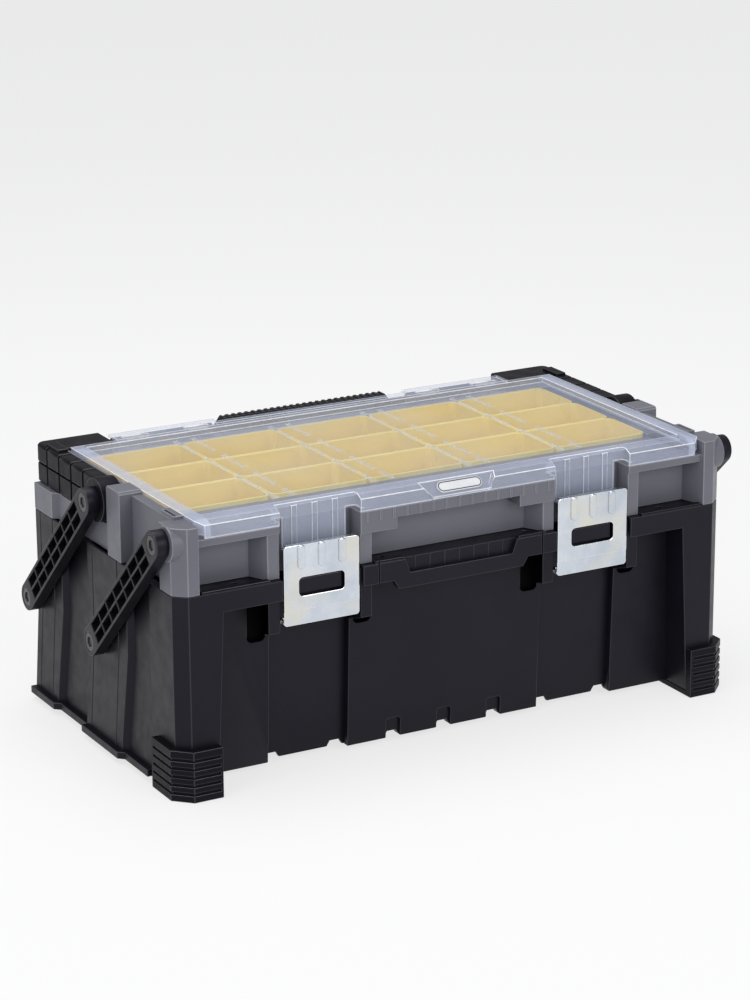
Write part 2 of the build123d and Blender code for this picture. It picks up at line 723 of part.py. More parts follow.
def tray_body():
    bottom_z = seam_z + seam_gap

    # Lower body, upper body and the band that carries the hinge
    tray = slab(-tray_deck_x, tray_deck_x, tray_front_y, tray_rear_y, bottom_z, shelf_z)
    tray += both(slab(tray_deck_x - wall, recess_x, mid_block_front_y, tray_rear_y, bottom_z, shelf_z))
    rear_block = ((tray_deck_x, rear_block_front_y), (recess_x, rear_block_front_y),
                  (side_x, rear_block_front_y + recess_depth), (side_x, tray_rear_y),
                  (tray_deck_x, tray_rear_y))
    tray += both(along_z(rear_block, bottom_z, shelf_z))
    tray += slab(-tray_upper_x, tray_upper_x, tray_front_y, tray_corner_rear_y, bottom_z, ledge_z)
    tray += slab(-tray_hinge_half, tray_hinge_half, tray_front_y, tray_upper_rear_y, bottom_z, ledge_z)

    # Side decks, the blocks in front of the handle's eyes and the raised tops on them
    lid_slot_x = lid_x + body_gap
    tray += both(slab(lid_slot_x, tray_deck_x, tray_front_y, mid_block_front_y, bottom_z, deck_z))
    tray += both(slab(lid_slot_x, side_x, mid_block_front_y, mid_block_rear_y, bottom_z, deck_z))
    tray += both(slab(lid_slot_x, tray_upper_x, mid_block_rear_y, tray_corner_rear_y, bottom_z, deck_z))
    guard = (
        (mid_block_front_y, deck_z - wall),
        (mid_block_front_y, guard_top_z - guard_slope),
        (mid_block_front_y + guard_slope, guard_top_z),
        (mid_block_rear_y - guard_slope, guard_top_z),
        (mid_block_rear_y, guard_top_z - guard_slope),
        (mid_block_rear_y, deck_z - wall),
    )
    tray += both(along_x(guard, lid_slot_x, side_x))

    # Front pillars, each with a boss for the pivot
    pillar = (
        (tray_pillar_inner_x, front_face_y),
        (side_x - pillar_chamfer_x, front_face_y),
        (side_x, front_face_y + pillar_chamfer_y),
        (side_x, tray_pillar_rear_y),
        (tray_pillar_inner_x - tray_pillar_draft, tray_pillar_rear_y),
        (tray_pillar_inner_x - tray_pillar_draft, tray_front_y),
    )
    tray += both(along_z(pillar, bottom_z, deck_z))
    tray += both(rod(upper_front_y - front_boss_lead, upper_z, front_boss_r, tray_deck_x - wall,
                     arm_inner_x - body_gap))

    # Room for the bins
    tray -= slab(-cavity_x, cavity_x, cavity_front_y, cavity_rear_y, bottom_z + tray_floor, guard_top_z)

    # Hollows below, inside the sides, under the front deck, the side blocks and the hinge band
    hollow_front_y = tray_front_y + wall
    tray -= slab(-cavity_x, cavity_x, hollow_front_y, cavity_front_y - wall, bottom_z - overrun,
                 front_deck_z - wall)
    side_front = (hollow_front_y, upper_rear_y - boss_r)
    side_rear = (upper_rear_y + boss_r, tray_corner_rear_y - wall)
    for y0, y1 in (side_front, side_rear):
        tray -= both(slab(cavity_x + wall, tray_upper_x - wall, y0, y1, bottom_z - overrun, ledge_z - wall))
    tray -= both(slab(tray_upper_x + wall, recess_x - wall, upper_rear_y + handle_eye_r + wall,
                      tray_rear_y - wall, bottom_z - overrun, shelf_z - wall))
    tray -= slab(-tray_hinge_half + wall, tray_hinge_half - wall, cavity_rear_y + wall,
                 tray_upper_rear_y - wall, bottom_z - overrun, hinge_z - hinge_sweep - wall)

    # The front of the deck drops to let the lid's front skirt in
    tray -= slab(-tray_pillar_inner_x, tray_pillar_inner_x, band_face_y - overrun, cavity_front_y,
                 front_deck_z, guard_top_z)
    tray -= slab(-lid_slot_x, lid_slot_x, lid_front_y - body_gap, tray_corner_rear_y, ledge_z, guard_top_z)

    # Scoop round the handle's eye, the pin seats and the catches
    eye_clear_x = handle_inner_x - body_gap
    tray -= both(rod(upper_rear_y, upper_z, handle_eye_r + body_gap, eye_clear_x, side_x + overrun))
    tray -= both(rod(upper_rear_y, upper_z, pin_r + seat_clearance, tray_upper_x - pin_seat_depth,
                     side_x + overrun))
    tray -= both(rod(upper_front_y, upper_z, pin_r + seat_clearance, tray_deck_x - wall,
                     arm_inner_x + overrun))
    tray += both(slab(lid_slot_x, lid_slot_x + catch_width, catch_front_y, catch_rear_y,
                      deck_z - wall, catch_top_z))
    slot_x = lid_slot_x + catch_width - catch_slot_inset
    tray -= both(slab(slot_x - catch_slot, slot_x, catch_front_y + catch_slot_inset,
                      catch_rear_y - catch_slot_inset, catch_top_z - catch_slot_depth,
                      catch_top_z + overrun))

    # Trough that the lid's clips swing in, with ears round each hinge rod
    trough_outer_x = tab_outer_x + 2 * body_gap
    trough_inner_x = tab_inner_x - 2 * body_gap
    tray -= both(slab(trough_inner_x, trough_outer_x, hinge_y - hinge_sweep, tray_upper_rear_y + overrun,
                      hinge_z - hinge_sweep, guard_top_z))
    tray -= slab(-tray_hinge_half, tray_hinge_half, hinge_y - hinge_sweep, tray_upper_rear_y + overrun,
                 ledge_z - wall, guard_top_z)
    for x0, x1 in hinge_ears():
        ear = rod(hinge_y, hinge_z, hinge_ear_r, x0, x1)
        ear += slab(x0, x1, hinge_y - hinge_ear_r, hinge_y + hinge_ear_r / 2,
                    hinge_z - hinge_sweep - wall, hinge_z)
        tray += both(ear)
    tray -= both(rod(hinge_y, hinge_z, hinge_rod_r + seat_clearance,
                     tab_inner_x - overrun, tab_outer_x + overrun))
    return tray


def post_plan(inner_x, outward):
    """X-Y outline of a post beside a latch, from the edge of the bay outwards."""
    return (
        (inner_x, ear_face_y),
        (inner_x + outward * ear_width, ear_face_y),
        (inner_x + outward * (ear_width + post_draft), tray_front_y),
        (inner_x, tray_front_y),
    )


def tray_front_lip():
    """Finger lip between the latches, with the post at each end of it."""
    bay_inner_x = latch_x - bay_half_width
    lip = both(along_z(post_plan(bay_inner_x, -1), seam_z + seam_gap, front_deck_z))
    lip += slab(-bay_inner_x, bay_inner_x, band_face_y, tray_front_y, front_deck_z - lip_drop, front_deck_z)
    lip += both(slab(lip_half_width, bay_inner_x, band_face_y, tray_front_y,
                     front_deck_z - lip_end_drop, front_deck_z))
    rib_pitch = 2 * bay_inner_x / lip_ribs
    for n in range(lip_ribs):
        rib_x = -bay_inner_x + (n + 1 / 2) * rib_pitch
        lip += slab(rib_x - lip_rib_width / 2, rib_x + lip_rib_width / 2, band_face_y - lip_rib_rise,
                    band_face_y + wall, front_deck_z - lip_drop, front_deck_z)
    return lip


def tray_side_lip():
    """Post outside the right-hand latch, with the band that runs on to the pillar."""
    bay_outer_x = latch_x + bay_half_width
    lip = along_z(post_plan(bay_outer_x, 1), seam_z + seam_gap, front_deck_z)
    pillar_lean = tray_pillar_draft / (tray_front_y - front_face_y)
    band = (
        (bay_outer_x, band_face_y),
        (tray_pillar_inner_x - pillar_lean * (band_face_y - front_face_y), band_face_y),
        (tray_pillar_inner_x - tray_pillar_draft, tray_front_y),
        (bay_outer_x, tray_front_y),
    )
    return lip + along_z(band, front_deck_z - band_drop, front_deck_z)


def clip_spans():
    """X spans of the lid's clips on the right."""
    width = tab_outer_x - tab_inner_x
    return [(tab_inner_x + a * width, tab_inner_x + b * width) for a, b in clip_spans_share]


def hinge_ears():
    """X spans of the tray's ears, between and outside the clips."""
    edges = [tab_inner_x + hinge_ear_inset]
    for a, b in clip_spans():
        edges += [a - hinge_ear_gap, b + hinge_ear_gap]
    edges.append(tab_outer_x - hinge_ear_inset)
    return list(zip(edges[0::2], edges[1::2]))


def hinge_rod():
    return rod(hinge_y, hinge_z, hinge_rod_r, tab_inner_x + hinge_ear_inset, tab_outer_x - hinge_ear_inset)


def bin_box(column, row):
    pitch_x = 2 * cavity_x / bin_columns
    pitch_y = (cavity_rear_y - cavity_front_y) / len(bin_rows)
    floor_z = seam_z + seam_gap + tray_floor
    height = bin_top_z - floor_z
    middle_x = -cavity_x + (column + 1 / 2) * pitch_x
    middle_y = cavity_front_y + (row + 1 / 2) * pitch_y
    outer = RectangleRounded(pitch_x - bin_gap, pitch_y - bin_gap, bin_corner_r)
    inner = RectangleRounded(pitch_x - bin_gap - 2 * bin_wall, pitch_y - bin_gap - 2 * bin_wall,
                             bin_corner_r - bin_wall)
    shell = extrude(outer, amount=height) - Pos(0, 0, bin_wall) * extrude(inner, amount=height)
    return Pos(middle_x, middle_y, floor_z) * shell


def lid_outline(inset):
    """X-Y face of the lid's skirt, with a notch in front for each latch."""
    notch_inner_x = latch_x - bay_half_width
    notch_outer_x = latch_x + bay_half_width
    half = (
        (notch_inner_x - inset, lid_front_y + inset),
        (notch_inner_x - inset, tongue_face_y + inset),
        (notch_outer_x + inset, tongue_face_y + inset),
        (notch_outer_x + inset, lid_front_y + inset),
        (lid_x - lid_corner, lid_front_y + inset),
        (lid_x - inset, lid_front_y + lid_corner),
        (lid_x - inset, lid_rear_y - inset),
    )
    outline = Polygon(*half, *((-x, y) for x, y in reversed(half)), align=None)
    return fillet(outline.vertices(), lid_round_r)


def lid():
    skirt_z = ledge_z + lid_seat_gap
    front_skirt_z = front_deck_z + lid_seat_gap
    rim_z = lid_top_z - lid_plate
    window_z = lid_top_z - window_drop

    # Skirted rim
    cover = Pos(0, 0, skirt_z) * extrude(lid_outline(0), amount=lid_top_z - skirt_z)
    cover -= Pos(0, 0, skirt_z - overrun) * extrude(lid_outline(lid_skirt), amount=rim_z - skirt_z + overrun)
    front_run_x = latch_x + bay_half_width
    for x0, x1 in ((-lid_x + lid_corner, -front_run_x), (bay_half_width - latch_x, latch_x - bay_half_width),
                   (front_run_x, lid_x - lid_corner)):
        cover += slab(x0, x1, lid_front_y, lid_front_y + lid_skirt, front_skirt_z, rim_z)

    # Window, sunk below the rim
    cover -= slab(-window_x, window_x, window_front_y, window_rear_y, window_z, lid_top_z + overrun)
    cover += slab(-window_x - lid_skirt, window_x + lid_skirt, window_front_y - lid_skirt,
                  window_rear_y + lid_skirt, window_z - lid_plate, window_z)
    riser = slab(-window_x - lid_skirt, window_x + lid_skirt, window_front_y - lid_skirt,
                 window_rear_y + lid_skirt, window_z - lid_plate, rim_z)
    cover += riser - slab(-window_x, window_x, window_front_y, window_rear_y, skirt_z, lid_top_z)

    # Bevel along the front
    bevel = (
        (lid_front_y - overrun, lid_top_z + overrun),
        (lid_front_y - overrun, lid_top_z - front_bevel_drop),
        (lid_front_y, lid_top_z - front_bevel_drop),
        (lid_front_y + front_bevel_depth, lid_top_z),
        (lid_front_y + front_bevel_depth, lid_top_z + overrun),
    )
    cover -= along_x(bevel, -lid_x - overrun, lid_x + overrun)
    bevel_shift_y = lid_skirt * front_bevel_depth / (front_bevel_depth + front_bevel_drop)
    lining = ((lid_front_y, lid_top_z - front_bevel_drop), (lid_front_y + front_bevel_depth, lid_top_z),
              (lid_front_y + front_bevel_depth + bevel_shift_y, rim_z),
              (lid_front_y + front_bevel_depth, rim_z),
              (lid_front_y + lid_skirt, lid_top_z - front_bevel_drop - lid_skirt / 2),
              (lid_front_y, lid_top_z - front_bevel_drop - lid_skirt / 2))
    for x0, x1 in ((-lid_x + lid_corner, -front_run_x), (bay_half_width - latch_x, latch_x - bay_half_width),
                   (front_run_x, lid_x - lid_corner)):
        cover += along_x(lining, x0, x1)

    # Narrow frames of low ribs under the window, over the gaps between the bins
    pitch_x = 2 * cavity_x / bin_columns
    pitch_y = (cavity_rear_y - cavity_front_y) / len(bin_rows)
    rib_bottom_z = window_z - lid_plate - divider_drop
    spans = []
    for row in range(len(bin_rows)):
        middle_y = cavity_front_y + (row + 1 / 2) * pitch_y
        half = divider_length_share * pitch_y / 2
        spans.append((middle_y - half, middle_y + half))
    front_end_y = cavity_front_y - front_divider_gap
    spans.append((front_end_y - front_divider_length, front_end_y))
    for column in range(1, bin_columns):
        for side in (-1, 1):
            rib_x = -cavity_x + column * pitch_x + side * divider_rib_half_pitch
            for y0, y1 in spans:
                half = divider_width / 2
                cover += slab(rib_x - half, rib_x + half, y0, y1, rib_bottom_z, window_z - lid_plate / 2)
                half -= divider_rib
                cover -= slab(rib_x - half, rib_x + half, y0 + divider_rib, y1 - divider_rib,
                              rib_bottom_z - overrun, window_z - lid_plate)

    # Latch tongues, ribbed, with a catch along the bottom edge
    tongue = slab(latch_x - tongue_half_width, latch_x + tongue_half_width, tongue_face_y,
                  tongue_face_y + lid_skirt, tongue_bottom_z, rim_z)
    for n in (-1, 0, 1):
        rib_x = latch_x + n * latch_rib_pitch
        tongue += slab(rib_x - tongue_rib_width / 2, rib_x + tongue_rib_width / 2,
                       tongue_face_y - tongue_rib_rise, tongue_face_y + lid_skirt / 2,
                       tongue_bottom_z, rim_z)
    tongue += slab(latch_x - tongue_half_width, latch_x + tongue_half_width, tongue_catch_y,
                   tongue_face_y + lid_skirt, tongue_bottom_z, tongue_bottom_z + tongue_catch_rise)
    cover += both(tongue)

    # Apron that carries the badge
    apron_z = front_skirt_z + apron_lip
    wedge = ((lid_front_y + front_bevel_depth, lid_top_z), (lid_front_y - apron_reach, apron_z + apron_lip),
             (lid_front_y - apron_reach, apron_z), (lid_front_y, apron_z),
             (lid_front_y + front_bevel_depth, rim_z))
    front_view = ((-apron_half_width, lid_top_z + overrun), (-apron_bottom_half_width, apron_z - overrun),
                  (apron_bottom_half_width, apron_z - overrun), (apron_half_width, lid_top_z + overrun))
    above = (wedge[0], wedge[1], (wedge[1][0], lid_top_z + overrun), (wedge[0][0], lid_top_z + overrun))
    face = along_y(front_view, lid_front_y - apron_reach - overrun, window_front_y)
    cover -= along_x(above, -apron_half_width, apron_half_width) & face
    cover += along_x(wedge, -apron_half_width, apron_half_width) & face
    return cover


def lid_hinge_plate():
    """Band behind the lid, with clips round the hinge rods and a slot in front of each."""
    rim_z = lid_top_z - lid_plate
    plate = slab(-tab_inner_x, tab_inner_x, lid_rear_y, centre_rear_y, rim_z, lid_top_z)
    plate += both(slab(tab_inner_x - overrun, tab_outer_x, lid_rear_y, tab_rear_y, rim_z, lid_top_z))
    for x0, x1 in clip_spans():
        clip = rod(hinge_y, hinge_z, hinge_barrel_r, x0, x1)
        clip += slab(x0, x1, hinge_y - hinge_barrel_r, hinge_y + hinge_barrel_r / 2, hinge_z, rim_z)
        plate += both(clip)
        plate -= both(slab(x0, x1, clip_slot_front_y, clip_slot_front_y + clip_slot_depth,
                           rim_z - overrun, lid_top_z + overrun))
        plate -= both(rod(hinge_y, hinge_z, hinge_rod_r + run_clearance, x0 - overrun, x1 + overrun))
    return plate


def lid_badge():
    """Bare oval plate on the apron's slope."""
    apron_z = front_deck_z + lid_seat_gap + apron_lip
    drop = lid_top_z - apron_z - apron_lip
    run = front_bevel_depth + apron_reach
    middle_y = lid_front_y + front_bevel_depth - run / 2
    slope = Plane(origin=(0, middle_y, lid_top_z - drop / 2), x_dir=(1, 0, 0), z_dir=(0, -drop, run))
    plate = extrude(SlotOverall(badge_length, badge_height), amount=badge_thickness)
    return slope * plate


def latch_plate():
    """Sheet latch on the right, curled round its pin below and hooked over above."""
    half = latch_width / 2
    x0, x1 = latch_x - half, latch_x + half
    inner_y = latch_face_y + latch_sheet
    curl_r = latch_pin_r + run_clearance + latch_curl

    sheet = slab(x0, x1, latch_face_y, inner_y, latch_pin_z, latch_top_z)
    sheet -= slab(x0 - overrun, x1 + overrun, latch_face_y - overrun, latch_face_y + latch_crease_depth,
                  latch_pin_z - overrun, latch_crease_z)
    slot = Plane.XZ * Pos(latch_x, (slot_bottom_z + slot_top_z) / 2) * RectangleRounded(
        slot_width, slot_top_z - slot_bottom_z, slot_corner_r)
    sheet -= Pos(0, inner_y + overrun, 0) * extrude(slot, amount=latch_sheet + 2 * overrun, dir=(0, -1, 0))
    hook_half = half - latch_corner_r
    sheet += slab(latch_x - hook_half, latch_x + hook_half, inner_y - latch_sheet / 2,
                  inner_y + latch_hook - latch_sheet, latch_top_z - latch_sheet, latch_top_z)

    # Pressed ribs running down from the top edge
    for n in (-1, 0, 1):
        rib = Pos(latch_x + n * latch_rib_pitch, 0) * RectangleRounded(
            latch_rib_width, latch_rib_length, latch_rib_width / 2 - run_clearance)
        rib = Plane.XZ * Pos(0, latch_top_z - latch_rib_length / 2) * rib
        rib = Pos(0, inner_y - latch_sheet / 2, 0) * extrude(
            rib, amount=latch_sheet / 2 + latch_rib_rise, dir=(0, -1, 0))
        sheet += fillet(rib.faces().sort_by(Axis.Y)[0].edges(), latch_rib_round_r)

    # Bottom curl
    curl = rod(latch_pin_y, latch_pin_z, curl_r, x0, x1)
    curl += slab(x0, x1, latch_face_y, latch_pin_y, latch_pin_z - curl_r, latch_pin_z - curl_r + latch_curl)
    curl += slab(x0, x1, latch_face_y + latch_crease_depth, inner_y,
                 latch_pin_z - curl_r, latch_pin_z + curl_r)
    curl -= slab(x0 - overrun, x1 + overrun, latch_face_y - overrun, latch_face_y + latch_crease_depth,
                 latch_pin_z - curl_r - overrun, latch_crease_z)
    sheet += curl

    # Round corners all round
    outline = Plane.XZ * Pos(latch_x, (latch_top_z + latch_pin_z - curl_r) / 2) * RectangleRounded(
        latch_width, latch_top_z - latch_pin_z + curl_r, latch_corner_r)
    sheet &= Pos(0, latch_pin_y + curl_r + overrun, 0) * extrude(
        outline, amount=latch_pin_y + curl_r + 2 * overrun - front_face_y, dir=(0, -1, 0))
    return sheet - rod(latch_pin_y, latch_pin_z, latch_pin_r + run_clearance, x0 - overrun, x1 + overrun)


def latch_pin():
    half = bay_half_width + ear_wall
    return rod(latch_pin_y, latch_pin_z, latch_pin_r, latch_x - half, latch_x + half)


def handle_bail():
    inner_rear_y = handle_rear_y - handle_shell
    side = slab(handle_inner_x, handle_outer_x, upper_rear_y, handle_rear_y, handle_bottom_z, handle_top_z)
    corner = slab(handle_corner_x, handle_outer_x, handle_corner_front_y, handle_rear_y,
                  handle_bottom_z, handle_top_z)
    side += corner
    side = fillet(side.edges().filter_by(Axis.Z).group_by(Axis.Y)[-1].sort_by(Axis.X)[-1], handle_corner_r)
    side = fillet(side.edges().filter_by(Axis.Y).group_by(Axis.Z)[-1].sort_by(Axis.X)[-1], handle_edge_r)
    side -= slab(handle_corner_x + handle_shell, handle_inner_x, handle_corner_front_y + handle_shell,
                 inner_rear_y, handle_bottom_z - overrun, handle_top_z - handle_shell)

    # Blocks on the outside, parted by grooves
    for n in range(block_count):
        groove_y = upper_rear_y + block_start + n * block_pitch
        y0, y1 = groove_y - block_groove / 2, groove_y + block_groove / 2
        side -= slab(handle_outer_x - block_groove_depth, handle_outer_x + overrun, y0, y1,
                     handle_bottom_z - overrun, handle_top_z + overrun)
        side -= slab(handle_inner_x - overrun, handle_outer_x + overrun, y0, y1,
                     handle_top_z - block_top_groove_depth, handle_top_z + overrun)
    side -= slab(handle_outer_x - block_groove_depth, handle_outer_x + overrun, upper_rear_y,
                 handle_rear_y + overrun, block_line_z - block_line / 2, block_line_z + block_line / 2)

    cap_y = upper_rear_y + handle_cap_front
    side += slab(handle_inner_x, handle_inner_x + handle_cap_width, cap_y, cap_y + handle_cap_length,
                 handle_top_z - handle_shell, handle_top_z + handle_cap_rise)

    # Eye on the pivot, out to the arm
    eye_outer_x = arm_inner_x - body_gap
    side += rod(upper_rear_y, upper_z, handle_eye_r, handle_inner_x, eye_outer_x)
    side -= rod(upper_rear_y, upper_z, pin_r + run_clearance,
                handle_inner_x - overrun, eye_outer_x + overrun)

    bar = slab(-handle_corner_x - overrun, handle_corner_x + overrun, bar_front_y, handle_rear_y - grip_skin,
               bar_bottom_z, bar_top_z)
    return both(side) + bar


def handle_grip():
    """Ribbed sleeve on the middle of the bar."""
    front_y = bar_front_y - grip_skin
    profile = (
        (-grip_half_length, grip_bottom_z),
        (grip_half_length, grip_bottom_z),
        (grip_half_length, bar_top_z),
        (grip_half_length - grip_end_slope, grip_top_z),
        (-grip_half_length + grip_end_slope, grip_top_z),
        (-grip_half_length, bar_top_z),
    )
    grip = along_y(profile, front_y, handle_rear_y)
    pitch = 2 * (grip_half_length - grip_end_slope) / grip_ridges
    for n in range(grip_ridges):
        groove_x = -grip_half_length + grip_end_slope + (n + 1 / 2) * pitch
        half = (pitch - grip_ridge_width) / 2
        grip -= slab(groove_x - half, groove_x + half, front_y - overrun, handle_rear_y + overrun,
                     grip_top_z - grip_ridge_depth, grip_top_z + overrun)
    return grip - slab(-grip_half_length - overrun, grip_half_length + overrun, bar_front_y,
                       handle_rear_y - grip_skin, bar_bottom_z, bar_top_z)


os.makedirs("parts", exist_ok=True)

save("base_tub", base_tub())
save("tub_floor", tub_floor())
save("front_rim_lip", front_rim_lip())
save("tray_body", tray_body())
save("tray_front_lip", tray_front_lip())
save("lid", lid())
save("lid_hinge_plate", lid_hinge_plate())
save("lid_badge", lid_badge())
for column in range(bin_columns):
    for row, row_name in enumerate(bin_rows):
        save(f"bin_{row_name}_{column + 1}", bin_box(column, row))

lower_pins = [pivot_pin(y, lower_z, side_x - pin_seat_depth) for y in lower_pivots]
save("lower_pivot_pins", both(lower_pins[0]) + both(lower_pins[1]))
save("upper_front_pins", both(pivot_pin(upper_front_y, upper_z, tray_deck_x - wall)))
save("upper_rear_pins", both(pivot_pin(upper_rear_y, upper_z, tray_upper_x - pin_seat_depth)))
save("handle_bail", handle_bail())
save("handle_grip", handle_grip())

for name, shape in (
    ("arm_front", link_arm(lower_front_y)),
    ("arm_rear", link_arm(lower_rear_y)),
    ("corner_foot", corner_foot()),
    ("rear_foot", rear_foot()),
    ("tray_side_lip", tray_side_lip()),
    ("latch_plate", latch_plate()),
    ("latch_pin", latch_pin()),
    ("lid_hinge_rod", hinge_rod()),
):
    save(name + "_right", shape)
    save(name + "_left", other_side(shape))
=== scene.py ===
import json
import math

import bpy
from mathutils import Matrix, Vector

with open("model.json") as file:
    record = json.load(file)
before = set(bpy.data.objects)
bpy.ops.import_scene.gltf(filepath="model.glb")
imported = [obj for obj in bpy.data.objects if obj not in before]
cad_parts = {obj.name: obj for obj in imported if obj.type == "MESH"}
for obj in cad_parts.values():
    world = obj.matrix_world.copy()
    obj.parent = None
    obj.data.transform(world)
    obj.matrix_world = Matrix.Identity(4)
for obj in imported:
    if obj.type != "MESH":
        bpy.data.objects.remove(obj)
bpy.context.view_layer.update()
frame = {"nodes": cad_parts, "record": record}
nodes = frame["nodes"]
scene = bpy.context.scene
scene.view_settings.view_transform = "Standard"

# The lid's window, in metres: half width, front, rear and the underside of its plate
window_x = 0.237
window_front_y = -0.123
window_rear_y = 0.106
window_under_z = 0.2355
window_blur = 0.001
rib_blur = 0.0003
edge_fade_below = 0.0002
edge_fade_above = 0.0006

# How much the lid covers what lies behind it
rim_cover = (0.175, 0.235)
window_clearing = -0.05
rib_frost = 0.10
side_milk = 0.20
edge_cover = (0.70, 0.95)
edge_cover_under_window = 0.75

# The badge's face, in metres: half length, end radius, middle height and rise per unit along its slope
badge_half_x = 0.022
badge_r = 0.0055
badge_middle_z = 0.23626
badge_slope_share = 0.6977

# How far the badge's dark line lies inside its border, in metres: fading in, then out
badge_line_in = (0.0019, 0.0016)
badge_line_out = (0.0009, 0.0006)

# The recesses beside the latches, whose faces get a near-black painted shade, in metres: distances from
# the middle, depths and heights
pocket_x_spans = ((0.0752, 0.0927), (0.1773, 0.1948))
pocket_y_span = (-0.1382, -0.1100)
pocket_z_span = (0.1186, 0.1612)

# Noise textures: scale per metre and detail
noise_roughness = 0.55
plastic_drift = (11.0, 5.0)
plastic_gloss = (70.0, 5.0)
plastic_fine_grain = (1500.0, 2.0)
plastic_coarse_grain = (420.0, 3.0)
lid_cloud = (14.0, 4.0)
lid_gloss = (90.0, 4.0)
lid_ripple = (40.0, 2.0)
edge_glint = (160.0, 3.0)
zinc_rolling = (700.0, 3.0)
zinc_clouds = (38.0, 3.0)
zinc_straw = (23.0, 2.0)
badge_cloud = (60.0, 3.0)
badge_gloss = (400.0, 3.0)

# The part of a noise's values that is spread over a whole range
noise_span = (0.3, 0.7)
zinc_cloud_span = (0.35, 0.65)
zinc_straw_span = (0.52, 0.72)

# Swings of roughness about a material's own, and the heights of bumps in metres with their strengths
plastic_swing = (0.06, 0.08)
zinc_swing = (0.05, 0.07)
plastic_bump = 0.0002
lid_bump, lid_bump_strength = 0.0006, 0.06
zinc_bump, zinc_bump_strength = 0.0001, 0.06
zinc_stretch = (1.0, 1.0, 0.06)

# Mesh work: welding distance in metres, and the angles that count as flat and as an edge
weld_distance = 0.00001
flat_angle = math.radians(0.5)
sharp_angle = math.radians(30)
edge_segments = 2


# Node helpers

def material(name):
    """A new material with its tree and its Principled node."""
    mat = bpy.data.materials.new(name)
    mat.use_nodes = True
    tree = mat.node_tree
    return mat, tree, tree.nodes["Principled BSDF"]


def add(tree, kind, **values):
    """A node with some of its properties and inputs set."""
    node = tree.nodes.new(kind)
    for key, value in values.items():
        if hasattr(node, key):
            setattr(node, key, value)
        else:
            node.inputs[key.replace("_", " ")].default_value = value
    return node


def plug(tree, value, socket):
    """Links an output to a socket, or sets a plain number on it."""
    if isinstance(value, (int, float)):
        socket.default_value = value
    else:
        tree.links.new(value, socket)


def place(tree):
    """Object coordinates, which are metres in the part's own frame."""
    return add(tree, "ShaderNodeTexCoord").outputs["Object"]


def split(tree, where):
    """The X, Y and Z of a place."""
    axes = add(tree, "ShaderNodeSeparateXYZ")
    tree.links.new(where, axes.inputs["Vector"])
    return axes.outputs["X"], axes.outputs["Y"], axes.outputs["Z"]


def noise(tree, where, texture):
    """A noise texture, from its scale and detail."""
    scale, detail = texture
    node = add(tree, "ShaderNodeTexNoise", Scale=scale, Detail=detail, Roughness=noise_roughness)
    tree.links.new(where, node.inputs["Vector"])
    return node.outputs["Fac"]


def spread(tree, value, low, high, start=noise_span[0], end=noise_span[1]):
    """A value mapped from one range to another."""
    node = add(tree, "ShaderNodeMapRange")
    for key, number in (("From Min", start), ("From Max", end), ("To Min", low), ("To Max", high)):
        node.inputs[key].default_value = number
    tree.links.new(value, node.inputs["Value"])
    return node.outputs["Result"]


def maths(tree, operation, a, b=0.0):
    """The result of one sum, of outputs or plain numbers."""
    node = add(tree, "ShaderNodeMath", operation=operation)
    plug(tree, a, node.inputs[0])
    plug(tree, b, node.inputs[1])
    return node.outputs[0]


def tint(tree, value, dark, light):
    """A colour that moves between two with a texture value."""
    node = add(tree, "ShaderNodeMix", data_type="RGBA")
    sockets = {s.identifier: s for s in node.inputs}
    for key, colour in (("A_Color", dark), ("B_Color", light)):
        if isinstance(colour, tuple):
            sockets[key].default_value = (*colour, 1)
        else:
            tree.links.new(colour, sockets[key])
    tree.links.new(value, sockets["Factor_Float"])
    return {s.identifier: s for s in node.outputs}["Result_Color"]


def bump(tree, bsdf, height, distance, strength):
    """Bumps on a material's surface."""
    node = add(tree, "ShaderNodeBump", Strength=strength, Distance=distance)
    tree.links.new(height, node.inputs["Height"])
    tree.links.new(node.outputs["Normal"], bsdf.inputs["Normal"])


# Materials

def moulded(name, dark, light, rough, grain, specular, gloss_tint=(1.0, 1.0, 1.0)):
    """Moulded plastic: fine spark grain, slow colour drift and uneven, slightly tinted gloss."""
    mat, tree, bsdf = material(name)
    where = place(tree)
    drift = spread(tree, noise(tree, where, plastic_drift), 0, 1)
    tree.links.new(tint(tree, drift, dark, light), bsdf.inputs["Base Color"])
    gloss = noise(tree, where, plastic_gloss)
    less, more = plastic_swing
    tree.links.new(spread(tree, gloss, rough - less, rough + more), bsdf.inputs["Roughness"])
    bsdf.inputs["Specular IOR Level"].default_value = specular
    bsdf.inputs["Specular Tint"].default_value = (*gloss_tint, 1)
    fine = noise(tree, where, plastic_fine_grain)
    coarse = noise(tree, where, plastic_coarse_grain)
    bump(tree, bsdf, maths(tree, "ADD", fine, coarse), plastic_bump, grain)
    return mat


